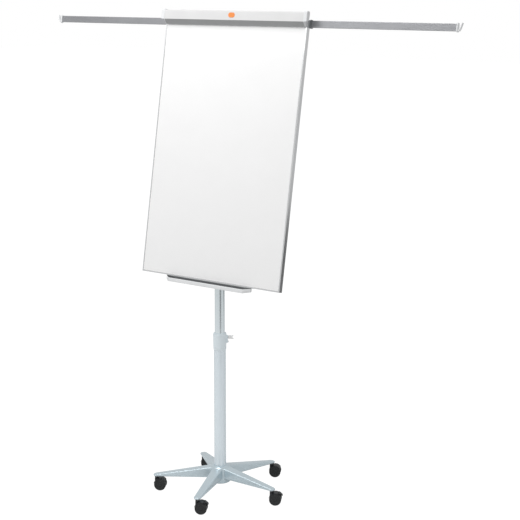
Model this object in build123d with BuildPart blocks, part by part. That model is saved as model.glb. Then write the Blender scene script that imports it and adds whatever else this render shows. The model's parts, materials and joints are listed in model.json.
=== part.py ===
from build123d import *
import os
from math import cos, radians, sin

# Mobile flipchart easel: a five-arm star base on twin-wheel castors, a telescopic column with a
# clamp collar, and a tilting whiteboard with a sprung pad clamp, two sliding display arms and a
# pen tray. Millimetres. +X is to the right along the board seen from the front, -Y is the front,
# +Z is up. The origin is on the column's axis at floor level.

# ---------------------------------------------------------------- driving dimensions
# Board
LEAN = 10.0                     # degrees the board leans back
BOARD_FOOT = (0, -77.8, 924.1)  # front bottom edge of the board, at its middle
BOARD_W, BOARD_H, BOARD_T = 700.0, 1066.0, 20.0
FRAME_WALL, FRAME_FRONT_LIP, FRAME_BACK_LIP = 1.6, 5.6, 10.0
FACE_DEPTH = 0.8                # writing surface behind the frame's front lips
BACKING_T, CORE_FRONT = 0.6, 1.8
RAIL_BOTTOM = 1036.0            # top rail starts here, up the board

# Pad clamp, in depth behind the board's front face and height up the board
PIVOT_N, PIVOT_S = 2.8, 1088.0
COVER_HALF, COVER_FRONT, COVER_BOTTOM, COVER_TOP, COVER_WALL = 345.0, -25.0, 1056.0, 1094.5, 2.0
CAP_OUTER, CAP_TOP, CAP_BACK = 361.0, 1097.5, -6.0
ROD_R, BARREL_R, LUG_R, LUG_W = 2.5, 4.5, 4.2, 14.0
LUG_PLACES = (-325, -110, 110, 325)
SPRING_PLACES = (-210, 210)
SPRING_LENGTH = 24.0

# Display arms
ARM_S, ARM_HEIGHT, ARM_DEPTH, ARM_LENGTH = 1053.5, 27.5, 8.0, 700.0
ARM_END = 977.0                 # outer end of the drawn arm's tube
ARM_GAP, GUIDE_WALL = 0.3, 1.5
FRONT_ARM_N = BOARD_T + GUIDE_WALL + ARM_GAP + ARM_DEPTH / 2
REAR_ARM_N = FRONT_ARM_N + ARM_DEPTH + 2 * ARM_GAP + GUIDE_WALL

# Column
LOWER_R, LOWER_BORE, LOWER_BOTTOM, LOWER_TOP = 25.0, 23.0, 59.0, 686.0
UPPER_R, UPPER_BORE, UPPER_BOTTOM, UPPER_TOP = 21.0, 19.0, 429.0, 994.0
COLLAR_BOTTOM, COLLAR_TOP, COLLAR_R = 619.0, 688.0, 28.0
KNOB_Z, KNOB_ANGLE, SCREW_Z = 672.0, 35.0, 653.0
RUNNING = 0.05                  # radial clearance of running fits

# Tilt head, its axis parallel to X
TILT_Y, TILT_Z, TILT_BOLT_R, EYE_R, EYE_HALF, CHEEK = 0.0, 1034.0, 5.0, 15.0, 14.0, 4.0

# Star base and castors
CASTOR_RING, FIRST_ARM = 270.5, -73.3
HUB_R, HUB_BOTTOM, HUB_TOP, HUB_SHOULDER = 44.0, 40.0, 113.0, 90.0
ARM_HALF_HUB, ARM_HALF_TIP = 23.0, 14.5
ARM_BOTTOM, TIP_TOP, CREST = 60.0, 68.0, 111.5
WHEEL_R, TRAIL, TRAIL_ANGLE = 25.0, 16.0, 28.0
AXLE_R, STEM_R, SOCKET_R, SOCKET_DEPTH, SOCKET_FLANGE = 3.0, 5.5, 7.5, 8.5, 1.0
HOOD_TOP, STEM_FLANGE = 57.0, 58.7
WHEEL_IN, WHEEL_OUT = 6.2, 18.2
CASTORS = ("front", "right", "back_right", "back_left", "left")
BRAKED = ("front", "right")
LEVER_N, LEVER_Z = 32.0, 49.5   # brake lever's pin, from the stem along the trail, and its height

os.makedirs("parts", exist_ok=True)


def save(builder, name):
    """Labels a finished piece and writes it."""
    builder.part.label = name
    export_step(builder.part, f"parts/{name}.step")


# ---------------------------------------------------------------- planes
TILT = radians(LEAN)
# face: x along the board, y up it, normal to the front
FACE = Plane(origin=BOARD_FOOT, x_dir=(1, 0, 0), z_dir=(0, -cos(TILT), sin(TILT)))
# section: x is depth behind the front face, y is up the board, normal +X
SECTION = Plane(origin=BOARD_FOOT, x_dir=(0, cos(TILT), -sin(TILT)), z_dir=(1, 0, 0))
# sill: x along the board, y is depth behind the front face, normal up the board
SILL = Plane(origin=BOARD_FOOT, x_dir=(1, 0, 0), z_dir=(0, sin(TILT), cos(TILT)))

FRONTWARDS = Axis(BOARD_FOOT, FACE.z_dir)


def depth_height(y, z):
    """A world point's depth behind the board's front face and its height up the board."""
    dy, dz = y - BOARD_FOOT[1], z - BOARD_FOOT[2]
    return dy * cos(TILT) - dz * sin(TILT), dy * sin(TILT) + dz * cos(TILT)


def radial_plane(angle, distance=0.0, height=0.0):
    """A plane facing away from the column's axis, with y up."""
    a = radians(angle)
    origin = (distance * cos(a), distance * sin(a), height)
    return Plane(origin=origin, x_dir=(-sin(a), cos(a), 0), z_dir=(cos(a), sin(a), 0))


def block(x0, x1, y0, y1):
    """A rectangle between two corners, in the current sketch."""
    with Locations(((x0 + x1) / 2, (y0 + y1) / 2)):
        Rectangle(x1 - x0, y1 - y0)


# ---------------------------------------------------------------- star base
def arm_solid(inset, top_drop, start, stop):
    """A tapering arm along +X: its plan outline, crossed with its side outline."""
    with BuildPart() as spoke:
        with BuildSketch():
            with Locations((start, 0)):
                Circle(ARM_HALF_HUB - inset)
            with Locations((stop, 0)):
                Circle(ARM_HALF_TIP - inset)
            make_hull()
        extrude(amount=150)
        with BuildSketch(Plane.XZ):
            reach = CASTOR_RING + ARM_HALF_TIP
            Polygon(
                (0, ARM_BOTTOM - 2 * top_drop), (reach, ARM_BOTTOM - 2 * top_drop),
                (reach, TIP_TOP - top_drop), (0, CREST - top_drop), align=None,
            )
        extrude(amount=60, both=True, mode=Mode.INTERSECT)
    return spoke


arm_pocket = arm_solid(inset=3.5, top_drop=4.0, start=HUB_R + 24, stop=CASTOR_RING - 28)
with BuildPart() as base_arm:
    add(arm_solid(inset=0.0, top_drop=0.0, start=0.0, stop=CASTOR_RING).part)
    crest = faces().filter_by(lambda f: f.normal_at().Z > 0.5).sort_by(Axis.Z)[-1]
    fillet(crest.edges().filter_by(lambda e: e.center().X > 1), 5)
    add(arm_pocket.part, mode=Mode.SUBTRACT)

BOLT_HOLE, RECESS_R, WEB_BOTTOM, END_PLATE = 5.5, 30.0, LOWER_BOTTOM - 8, 8.0
with BuildPart() as star_base:
    with BuildSketch(Plane.XZ):
        with BuildLine():
            Polyline(
                (BOLT_HOLE, WEB_BOTTOM), (RECESS_R, WEB_BOTTOM), (RECESS_R, HUB_BOTTOM),
                (HUB_R, HUB_BOTTOM), (HUB_R, HUB_SHOULDER),
            )
            ThreePointArc((HUB_R, HUB_SHOULDER), (37.5, 105), (27.5, HUB_TOP))
            Polyline(
                (27.5, HUB_TOP), (LOWER_R, HUB_TOP), (LOWER_R, LOWER_BOTTOM),
                (BOLT_HOLE, LOWER_BOTTOM), (BOLT_HOLE, WEB_BOTTOM),
            )
        make_face()
    revolve(axis=Axis.Z)
    with PolarLocations(0, 5, start_angle=FIRST_ARM):
        add(base_arm.part)
    with BuildSketch(Plane.XY.offset(LOWER_BOTTOM)):
        Circle(LOWER_R)
    extrude(amount=100, mode=Mode.SUBTRACT)
    with BuildSketch(Plane.XY.offset(HUB_BOTTOM)):
        Circle(RECESS_R)
    extrude(amount=WEB_BOTTOM - HUB_BOTTOM, mode=Mode.SUBTRACT)
    with BuildSketch(Plane.XY.offset(WEB_BOTTOM)):
        Circle(BOLT_HOLE)
    extrude(amount=LOWER_BOTTOM - WEB_BOTTOM, mode=Mode.SUBTRACT)
    # holes for the castor sockets
    with BuildSketch(Plane.XY.offset(ARM_BOTTOM)):
        with PolarLocations(CASTOR_RING, 5, start_angle=FIRST_ARM):
            Circle(SOCKET_R)
    extrude(amount=SOCKET_DEPTH, mode=Mode.SUBTRACT)
save(star_base, "star_base")

with BuildPart() as castor_sockets:
    with BuildSketch(Plane.XY.offset(ARM_BOTTOM)):
        with PolarLocations(CASTOR_RING, 5, start_angle=FIRST_ARM):
            Circle(SOCKET_R)
    extrude(amount=SOCKET_DEPTH)
    with BuildSketch(Plane.XY.offset(ARM_BOTTOM - SOCKET_FLANGE)):
        with PolarLocations(CASTOR_RING, 5, start_angle=FIRST_ARM):
            Circle(SOCKET_R + 2.5)
    extrude(amount=SOCKET_FLANGE)
    with BuildSketch(Plane.XY.offset(ARM_BOTTOM - SOCKET_FLANGE)):
        with PolarLocations(CASTOR_RING, 5, start_angle=FIRST_ARM):
            Circle(STEM_R + RUNNING)
    extrude(amount=SOCKET_FLANGE + SOCKET_DEPTH - 0.5, mode=Mode.SUBTRACT)
save(castor_sockets, "castor_sockets")

BOLT_R = 5.0
with BuildPart() as base_bolt:
    with BuildSketch(Plane.XY.offset(WEB_BOTTOM - 8)):
        RegularPolygon(9, 6)
    extrude(amount=6)
    with BuildSketch(Plane.XY.offset(WEB_BOTTOM - 2)):
        Circle(14)
    extrude(amount=2)
    with BuildSketch(Plane.XY.offset(WEB_BOTTOM)):
        Circle(BOLT_R)
    extrude(amount=LOWER_BOTTOM + END_PLATE - WEB_BOTTOM)
save(base_bolt, "base_bolt")


# ---------------------------------------------------------------- castors
def sector(radius_in, radius_out, start, end):
    """A ring sector round the wheel's axle, from start to end degrees, in the current sketch."""
    with BuildLine() as outline:
        low = CenterArc((TRAIL, WHEEL_R), radius_in, start, end - start)
        high = CenterArc((TRAIL, WHEEL_R), radius_out, start, end - start)
        Line(low @ 0, high @ 0)
        Line(low @ 1, high @ 1)
    make_face(outline.edges())


GUARD_OUT, BOSS_BOTTOM, RIVET_BOTTOM = 2.4, 49.7, 38.0


def castor_hood(braked):
    """The swivelling body, its stem on the Z axis and its wheels trailing along +X."""
    rear = 66 if braked else 34
    with BuildPart() as hood:
        with BuildSketch(Plane.XZ):
            with Locations((TRAIL, WHEEL_R)):
                Circle(WHEEL_R - 4)
            sector(WHEEL_R - 6, WHEEL_R + 1.5, rear, 168)
            block(-8, TRAIL - 6, 30, 51)
        extrude(amount=5.5, both=True)
        with BuildSketch(Plane.XZ):
            sector(WHEEL_R + 0.6, WHEEL_R + GUARD_OUT, rear, 168)
        extrude(amount=WHEEL_OUT + 0.4, both=True)
        with BuildSketch(Plane.XY.offset(BOSS_BOTTOM)):
            Circle(8.5)
        extrude(amount=HOOD_TOP - BOSS_BOTTOM)
        fillet(faces().sort_by(Axis.Z)[-1].edges(), 1.2)
        if braked:
            # two ears that carry the brake lever's pin
            for side in (-1, 1):
                with BuildSketch(Plane.XZ.offset(side * 9.6)):
                    with Locations((LEVER_N, LEVER_Z)):
                        Circle(3.2)
                    sector(WHEEL_R + 0.6, WHEEL_R + 3.2, 52, 70)
                    with Locations((LEVER_N, LEVER_Z)):
                        Circle(1.5 + RUNNING, mode=Mode.SUBTRACT)
                extrude(amount=side * 2.9)
        with BuildSketch(Plane.XY.offset(RIVET_BOTTOM)):
            Circle(4)
        extrude(amount=HOOD_TOP - RIVET_BOTTOM, mode=Mode.SUBTRACT)
        with BuildSketch(Plane.XZ):
            with Locations((TRAIL, WHEEL_R)):
                Circle(AXLE_R)
        extrude(amount=30, both=True, mode=Mode.SUBTRACT)
    return hood


def castor_wheel(side):
    """One moulded wheel of the pair, on the side given by +1 or -1 along Y."""
    with BuildPart() as wheel:
        with BuildSketch(Plane.XY):
            with BuildLine():
                Polyline(
                    (0, 17.2), (7, 17.2), (8, 16), (15, 16), (17, WHEEL_OUT - 0.4),
                    (20.5, WHEEL_OUT),
                )
                ThreePointArc((20.5, WHEEL_OUT), (23.8, WHEEL_OUT - 1.2), (WHEEL_R, WHEEL_OUT - 4))
                Polyline(
                    (WHEEL_R, WHEEL_OUT - 4), (WHEEL_R, WHEEL_IN + 1.5), (WHEEL_R - 1.5, WHEEL_IN),
                    (AXLE_R + RUNNING, WHEEL_IN), (AXLE_R + RUNNING, 16.2), (0, 16.2), (0, 17.2),
                )
            make_face()
        revolve(axis=Axis.Y)
    with BuildPart() as placed:
        with Locations((TRAIL, 0, WHEEL_R)):
            add(wheel.part if side > 0 else wheel.part.mirror(Plane.XZ))
    return placed


def castor_pins():
    """The steel stem, riveted in the hood, and the wheels' axle."""
    with BuildPart() as pins:
        with BuildSketch(Plane.XY.offset(RIVET_BOTTOM)):
            Circle(4)
        extrude(amount=HOOD_TOP - RIVET_BOTTOM)
        with BuildSketch(Plane.XY.offset(HOOD_TOP)):
            Circle(7)
        extrude(amount=STEM_FLANGE - HOOD_TOP)
        with BuildSketch(Plane.XY.offset(STEM_FLANGE)):
            Circle(STEM_R)
        extrude(amount=ARM_BOTTOM + SOCKET_DEPTH - 1 - STEM_FLANGE)
        with BuildSketch(Plane.XZ):
            with Locations((TRAIL, WHEEL_R)):
                Circle(AXLE_R)
        extrude(amount=15.8, both=True)
    return pins


def brake_lever():
    """The foot pedal: its pin, and a tab that stands out over the wheels."""
    with BuildPart() as lever:
        with BuildSketch(Plane.XZ):
            with BuildLine():
                Polyline(
                    (LEVER_N - 3, LEVER_Z + 0.5), (LEVER_N, LEVER_Z + 2.6), (LEVER_N + 6, LEVER_Z + 0.5),
                    (LEVER_N + 14.5, LEVER_Z - 7.5), (LEVER_N + 13.5, LEVER_Z - 10.5),
                    (LEVER_N + 5.5, LEVER_Z - 4), (LEVER_N, LEVER_Z - 2.6),
                    (LEVER_N - 3, LEVER_Z + 0.5),
                )
            make_face()
        extrude(amount=9, both=True)
        fillet(edges().filter_by(Axis.Y).sort_by(Axis.X)[-2:], 1)
        with BuildSketch(Plane.XZ):
            with Locations((LEVER_N, LEVER_Z)):
                Circle(1.5)
        extrude(amount=12.5, both=True)
    return lever


hood_plain, hood_braked = castor_hood(False), castor_hood(True)
wheel_a, wheel_b, pins, lever = castor_wheel(1), castor_wheel(-1), castor_pins(), brake_lever()
for index, place in enumerate(CASTORS):
    bearing = radians(FIRST_ARM + 72 * index)
    stem = (CASTOR_RING * cos(bearing), CASTOR_RING * sin(bearing), 0)
    pieces = {
        f"castor_hood_{place}": hood_braked if place in BRAKED else hood_plain,
        f"castor_pins_{place}": pins,
        f"castor_wheel_a_{place}": wheel_a,
        f"castor_wheel_b_{place}": wheel_b,
    }
    if place in BRAKED:
        pieces[f"brake_lever_{place}"] = lever
    for name, piece in pieces.items():
        with BuildPart() as placed_piece:
            with Locations(Location(stem, (0, 0, TRAIL_ANGLE))):
                add(piece.part)
        save(placed_piece, name)

# ---------------------------------------------------------------- column
with BuildPart() as lower_tube:
    with BuildSketch(Plane.XY.offset(LOWER_BOTTOM)):
        Circle(LOWER_R)
        Circle(LOWER_BORE, mode=Mode.SUBTRACT)
    extrude(amount=LOWER_TOP - LOWER_BOTTOM)
    # threaded end plate, welded in
    with BuildSketch(Plane.XY.offset(LOWER_BOTTOM)):
        Circle(LOWER_BORE)
        Circle(BOLT_R, mode=Mode.SUBTRACT)
    extrude(amount=END_PLATE)
    with BuildSketch(radial_plane(KNOB_ANGLE, 15, KNOB_Z)):
        Circle(6.2)
    extrude(amount=15, mode=Mode.SUBTRACT)
    with BuildSketch(radial_plane(KNOB_ANGLE, 15, SCREW_Z)):
        Circle(2)
    extrude(amount=15, mode=Mode.SUBTRACT)
save(lower_tube, "lower_tube")

with BuildPart() as clamp_collar:
    with BuildSketch(Plane.XZ):
        with BuildLine():
            Polyline((LOWER_R, COLLAR_BOTTOM), (25.8, COLLAR_BOTTOM))
            ThreePointArc((25.8, COLLAR_BOTTOM), (26.6, COLLAR_BOTTOM + 3), (27, COLLAR_BOTTOM + 7))
            Polyline(
                (27, COLLAR_BOTTOM + 7), (COLLAR_R, COLLAR_TOP - 3), (COLLAR_R - 1, COLLAR_TOP),
                (LOWER_R, COLLAR_TOP), (LOWER_R, COLLAR_BOTTOM),
            )
        make_face()
    revolve(axis=Axis.Z)
    with BuildSketch(radial_plane(KNOB_ANGLE, 0, 0)):
        with BuildLine():
            Polyline((-9, KNOB_Z), (-7, SCREW_Z - 4), (7, SCREW_Z - 4), (9, KNOB_Z))
            RadiusArc((9, KNOB_Z), (-9, KNOB_Z), -9)
        make_face()
    extrude(amount=34)
    with BuildSketch(Plane.XY.offset(COLLAR_BOTTOM - 1)):
        Circle(LOWER_R)
    extrude(amount=90, mode=Mode.SUBTRACT)
    with BuildSketch(radial_plane(KNOB_ANGLE, 20, KNOB_Z)):
        Circle(4 + RUNNING)
    extrude(amount=20, mode=Mode.SUBTRACT)
    with BuildSketch(radial_plane(KNOB_ANGLE, 20, SCREW_Z)):
        Circle(2)
    extrude(amount=20, mode=Mode.SUBTRACT)
save(clamp_collar, "clamp_collar")

BUSH_BOTTOM = 634.0
with BuildPart() as collar_bush:
    with BuildSketch(Plane.XY.offset(BUSH_BOTTOM)):
        Circle(LOWER_BORE)
        Circle(UPPER_R + RUNNING, mode=Mode.SUBTRACT)
    extrude(amount=COLLAR_TOP - BUSH_BOTTOM)
    with BuildSketch(Plane.XY.offset(LOWER_TOP)):
        Circle(LOWER_R)
        Circle(UPPER_R + RUNNING, mode=Mode.SUBTRACT)
    extrude(amount=COLLAR_TOP - LOWER_TOP)
    with BuildSketch(Plane.XY.offset(COLLAR_TOP)):
        Circle(26.5)
        Circle(UPPER_R + RUNNING, mode=Mode.SUBTRACT)
    extrude(amount=2.5)
    fillet(edges().filter_by(GeomType.CIRCLE).sort_by(Axis.Z)[-2:].sort_by(SortBy.RADIUS)[-1], 1)
    with BuildSketch(radial_plane(KNOB_ANGLE, 15, KNOB_Z)):
        Circle(6.2)
    extrude(amount=12, mode=Mode.SUBTRACT)
save(collar_bush, "collar_bush")

with BuildPart() as collar_screw:
    with BuildSketch(radial_plane(KNOB_ANGLE, 23.2, SCREW_Z)):
        Circle(2)
    extrude(amount=10.8)
    with BuildSketch(radial_plane(KNOB_ANGLE, 34, SCREW_Z)):
        Circle(3.8)
        RegularPolygon(1.7, 6, mode=Mode.SUBTRACT)
    extrude(amount=2.2)
save(collar_screw, "collar_screw")

with BuildPart() as pressure_shoe:
    with BuildSketch(radial_plane(KNOB_ANGLE, UPPER_R + 0.4, KNOB_Z)):
        Circle(6.2)
    extrude(amount=2.4)
save(pressure_shoe, "pressure_shoe")

STUD_R, STUD_START, STUD_END = 4.0, 24.2, 46.2
with BuildPart() as knob_stud:
    with BuildSketch(radial_plane(KNOB_ANGLE, STUD_START, KNOB_Z)):
        Circle(STUD_R)
    extrude(amount=STUD_END - STUD_START)
save(knob_stud, "knob_stud")

OUTWARDS = radial_plane(KNOB_ANGLE).z_dir
ACROSS = radial_plane(KNOB_ANGLE).x_dir
WING_TURN = radians(62)
KNOB_FOOT, KNOB_TIP, WING_HALF = 35.2, 60.0, 13.0
WINGS = Plane(
    origin=(0, 0, KNOB_Z), x_dir=OUTWARDS,
    z_dir=ACROSS * cos(WING_TURN) + Vector(0, 0, sin(WING_TURN)),
)
with BuildPart() as height_knob:
    with BuildSketch(radial_plane(KNOB_ANGLE, KNOB_FOOT, KNOB_Z)):
        Circle(8)
    extrude(amount=13)
    # two flat wings that flare outwards
    with BuildSketch(WINGS):
        Polygon(
            (KNOB_FOOT + 4, -6), (KNOB_TIP - 4, -WING_HALF), (KNOB_TIP, -WING_HALF + 2),
            (KNOB_TIP - 2, 0), (KNOB_TIP, WING_HALF - 2), (KNOB_TIP - 4, WING_HALF),
            (KNOB_FOOT + 4, 6), align=None,
        )
    extrude(amount=2.6, both=True)
    with BuildSketch(radial_plane(KNOB_ANGLE, KNOB_FOOT - 5, KNOB_Z)):
        Circle(STUD_R)
    extrude(amount=STUD_END - KNOB_FOOT + 5, mode=Mode.SUBTRACT)
save(height_knob, "height_knob")

with BuildPart() as upper_tube:
    with BuildSketch(Plane.XY.offset(UPPER_BOTTOM)):
        Circle(UPPER_R)
        Circle(UPPER_BORE, mode=Mode.SUBTRACT)
    extrude(amount=UPPER_TOP - UPPER_BOTTOM)
save(upper_tube, "upper_tube")

with BuildPart() as tube_glide:
    with BuildSketch(Plane.XY.offset(UPPER_BOTTOM - 3)):
        Circle(LOWER_BORE - RUNNING)
        Circle(UPPER_BORE - 2, mode=Mode.SUBTRACT)
    extrude(amount=3)
    with BuildSketch(Plane.XY.offset(UPPER_BOTTOM)):
        Circle(LOWER_BORE - RUNNING)
        Circle(UPPER_R, mode=Mode.SUBTRACT)
    extrude(amount=32)
save(tube_glide, "tube_glide")

# ---------------------------------------------------------------- tilt head
with BuildPart() as tilt_head:
    with BuildSketch(Plane.XY.offset(UPPER_TOP - 40)):
        Circle(UPPER_BORE)
        Circle(UPPER_BORE - 4, mode=Mode.SUBTRACT)
    extrude(amount=40)
    with BuildSketch(Plane.XY.offset(UPPER_TOP)):
        Circle(UPPER_R + 1)
    extrude(amount=5)
    with BuildSketch(Plane.XY.offset(UPPER_TOP + 5)):
        Rectangle(2 * EYE_HALF, 2 * EYE_HALF - 2)
    extrude(amount=TILT_Z - UPPER_TOP - 5)
    with BuildSketch(Plane.YZ):
        with Locations((TILT_Y, TILT_Z)):
            Circle(EYE_R)
    extrude(amount=EYE_HALF, both=True)
    with BuildSketch(Plane.YZ):
        with Locations((TILT_Y, TILT_Z)):
            Circle(TILT_BOLT_R + RUNNING)
    extrude(amount=EYE_HALF + 1, both=True, mode=Mode.SUBTRACT)
save(tilt_head, "tilt_head")

PIN_N, PIN_S = depth_height(TILT_Y, TILT_Z)
SPINE_BACK, BRACKET_T, SCREW_R, SCREW_HEAD = BOARD_T + 12, 3.0, 2.0, 3.6
BRACKET_SCREWS = ((-27, 94), (27, 94), (-27, 152), (27, 152))
TRAY_SCREWS = ((-150, 10), (150, 10))
TRAY_FLANGE = 2.0
with BuildPart() as tilt_bracket:
    with BuildSketch(FACE.offset(-SPINE_BACK)):
        block(-34, 34, 84, 162)
        fillet(vertices(), 6)
    extrude(amount=-BRACKET_T)
    for side in (-1, 1):
        outer = side * (EYE_HALF + 0.5 + CHEEK / 2)
        with BuildSketch(SECTION.offset(outer)):
            Polygon(
                (SPINE_BACK + BRACKET_T, 90), (PIN_N, PIN_S - 14), (PIN_N, PIN_S + 14),
                (SPINE_BACK + BRACKET_T, 156), align=None,
            )
            with Locations((PIN_N, PIN_S)):
                Circle(14)
        extrude(amount=CHEEK / 2, both=True)
    with BuildSketch(SECTION):
        with Locations((PIN_N, PIN_S)):
            Circle(TILT_BOLT_R)
    extrude(amount=40, both=True, mode=Mode.SUBTRACT)
    with BuildSketch(FACE.offset(-SPINE_BACK)):
        with Locations(*BRACKET_SCREWS):
            Circle(SCREW_R)
    extrude(amount=-BRACKET_T, mode=Mode.SUBTRACT)
save(tilt_bracket, "tilt_bracket")

CHEEK_OUT = EYE_HALF + 0.5 + CHEEK
with BuildPart() as tilt_bolt:
    with BuildSketch(Plane.YZ.offset(-CHEEK_OUT)):
        with Locations((TILT_Y, TILT_Z)):
            Circle(TILT_BOLT_R)
    extrude(amount=2 * CHEEK_OUT + 16)
    with BuildSketch(Plane.YZ.offset(-CHEEK_OUT)):
        with Locations((TILT_Y, TILT_Z)):
            Circle(10)
    extrude(amount=-4)
    fillet(faces().sort_by(Axis.X)[0].edges(), 2.5)
save(tilt_bolt, "tilt_bolt")

with BuildPart() as tilt_knob:
    with BuildSketch(Plane.YZ.offset(CHEEK_OUT + 0.5)):
        with Locations((TILT_Y, TILT_Z)):
            Circle(11)
    extrude(amount=6)
    with BuildSketch(Plane.YZ.offset(CHEEK_OUT + 6.5)):
        with Locations((TILT_Y, TILT_Z)):
            Circle(15)
            with PolarLocations(14, 5):
                Circle(5)
    extrude(amount=14)
    fillet(faces().sort_by(Axis.X)[-1].edges(), 2)
    with BuildSketch(Plane.YZ.offset(CHEEK_OUT)):
        with Locations((TILT_Y, TILT_Z)):
            Circle(TILT_BOLT_R + RUNNING)
    extrude(amount=16.5, mode=Mode.SUBTRACT)
save(tilt_knob, "tilt_knob")

# ---------------------------------------------------------------- board
HALF_W = BOARD_W / 2
INSIDE = HALF_W - FRAME_WALL
LIP_EDGE = HALF_W - FRAME_FRONT_LIP


with BuildPart() as frame_sides:
    with BuildSketch(SILL):
        block(INSIDE, HALF_W, 0, BOARD_T)
        block(LIP_EDGE, HALF_W, 0, FRAME_WALL - 0.1)
        block(HALF_W - FRAME_BACK_LIP, HALF_W, BOARD_T - 1.5, BOARD_T)
        fillet(vertices().group_by(Axis.X)[-1], 0.8)
    extrude(amount=BOARD_H)
    with BuildSketch(FACE.offset(1)):
        Polygon((HALF_W, 0), (HALF_W - 40, 40), (HALF_W - 40, -1), (HALF_W, -1), align=None)
    extrude(amount=-BOARD_T - 2, mode=Mode.SUBTRACT)
    mirror(about=Plane.YZ)
save(frame_sides, "frame_sides")

with BuildPart() as frame_bottom:
    with BuildSketch(SECTION.offset(-HALF_W)):
        block(0, BOARD_T, 0, FRAME_WALL)
        block(0, FRAME_WALL - 0.1, 0, FRAME_FRONT_LIP)
        block(BOARD_T - 1.5, BOARD_T, 0, FRAME_BACK_LIP)
    extrude(amount=BOARD_W)
    for side in (-1, 1):
        with BuildSketch(FACE.offset(1)):
            edge = side * HALF_W
            Polygon((edge, 0), (edge, 40), (edge - side * 40, 40), align=None)
        extrude(amount=-BOARD_T - 2, mode=Mode.SUBTRACT)
    with BuildSketch(SILL):
        with Locations(*TRAY_SCREWS):
            Circle(SCREW_R)
    extrude(amount=FRAME_WALL, mode=Mode.SUBTRACT)
save(frame_bottom, "frame_bottom")

BACKING_FRONT = BOARD_T - 1.5 - BACKING_T
with BuildPart() as board_core:
    with BuildSketch(FACE.offset(-CORE_FRONT)):
        block(-INSIDE, INSIDE, FRAME_WALL, RAIL_BOTTOM)
    extrude(amount=-(BACKING_FRONT - CORE_FRONT))
    # open cells between the ribs
    with BuildSketch(FACE.offset(-CORE_FRONT)):
        with Locations((0, (FRAME_WALL + RAIL_BOTTOM) / 2)):
            with GridLocations(84, 84, 8, 12):
                Rectangle(76, 76)
    extrude(amount=-(BACKING_FRONT - CORE_FRONT), mode=Mode.SUBTRACT)
save(board_core, "board_core")

with BuildPart() as writing_surface:
    with BuildSketch(FACE.offset(-FACE_DEPTH)):
        block(-LIP_EDGE, LIP_EDGE, FRAME_FRONT_LIP, RAIL_BOTTOM)
    extrude(amount=-(CORE_FRONT - FACE_DEPTH))
save(writing_surface, "writing_surface")

with BuildPart() as backing_sheet:
    with BuildSketch(FACE.offset(-BACKING_FRONT)):
        block(-INSIDE, INSIDE, FRAME_WALL, RAIL_BOTTOM)
    extrude(amount=-BACKING_T)
save(backing_sheet, "backing_sheet")

RAIL_BACK = BOARD_T - 1.5
with BuildPart() as top_rail:
    with BuildSketch(SECTION.offset(-INSIDE)):
        block(CORE_FRONT, RAIL_BACK, RAIL_BOTTOM, BOARD_H)
        block(CORE_FRONT + 2, RAIL_BACK - 2, RAIL_BOTTOM + 2, BOARD_H - 2)
    extrude(amount=2 * INSIDE)
    with BuildSketch(SECTION.offset(-INSIDE)):
        block(CORE_FRONT + 2, RAIL_BACK - 2, RAIL_BOTTOM + 2, BOARD_H - 2)
    extrude(amount=2 * INSIDE, mode=Mode.SUBTRACT)
    with BuildSketch(SECTION.offset(-LIP_EDGE)):
        block(FACE_DEPTH, CORE_FRONT, RAIL_BOTTOM, BOARD_H)
        block(FACE_DEPTH, FACE_DEPTH + 4, BOARD_H - 2, PIVOT_S - BARREL_R - 1)
    extrude(amount=2 * LIP_EDGE)
    for place in LUG_PLACES:
        with BuildSketch(SECTION.offset(place - LUG_W / 2)):
            with Locations((PIVOT_N, PIVOT_S)):
                Circle(LUG_R)
            block(FACE_DEPTH, FACE_DEPTH + 4, BOARD_H, PIVOT_S)
        extrude(amount=LUG_W)
    with BuildSketch(SECTION.offset(-COVER_HALF)):
        with Locations((PIVOT_N, PIVOT_S)):
            Circle(ROD_R)
    extrude(amount=2 * COVER_HALF, mode=Mode.SUBTRACT)
save(top_rail, "top_rail")

PEG_X, PEG_S, PEG_R, PEG_OUT = 215.0, 1053.0, 3.5, 9.0
with BuildPart() as pad_pegs:
    with BuildSketch(FACE.offset(-FACE_DEPTH)):
        with Locations((-PEG_X, PEG_S), (PEG_X, PEG_S)):
            Circle(PEG_R)
    extrude(amount=PEG_OUT)
    chamfer(edges().filter_by(GeomType.CIRCLE).group_by(FRONTWARDS)[-1], 0.8)
save(pad_pegs, "pad_pegs")

with BuildPart() as hinge_rod:
    with BuildSketch(SECTION.offset(-COVER_HALF + 1)):
        with Locations((PIVOT_N, PIVOT_S)):
            Circle(ROD_R)
    extrude(amount=2 * (COVER_HALF - 1))
save(hinge_rod, "hinge_rod")

with BuildPart() as clamp_springs:
    # two torsion springs round the rod, between the cover's knuckles
    for place in SPRING_PLACES:
        start = SECTION.offset(place - SPRING_LENGTH / 2 + 1).from_local_coords((PIVOT_N, PIVOT_S, 0))
        coil = Helix(pitch=1.7, height=SPRING_LENGTH - 4, radius=3.35, center=start, direction=(1, 0, 0))
        with BuildLine() as wire:
            add(coil)
        with BuildSketch(Plane(origin=coil @ 0, z_dir=coil % 0)):
            Circle(0.6)
        sweep(path=wire.wire(), is_frenet=True)
save(clamp_springs, "clamp_springs")

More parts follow.
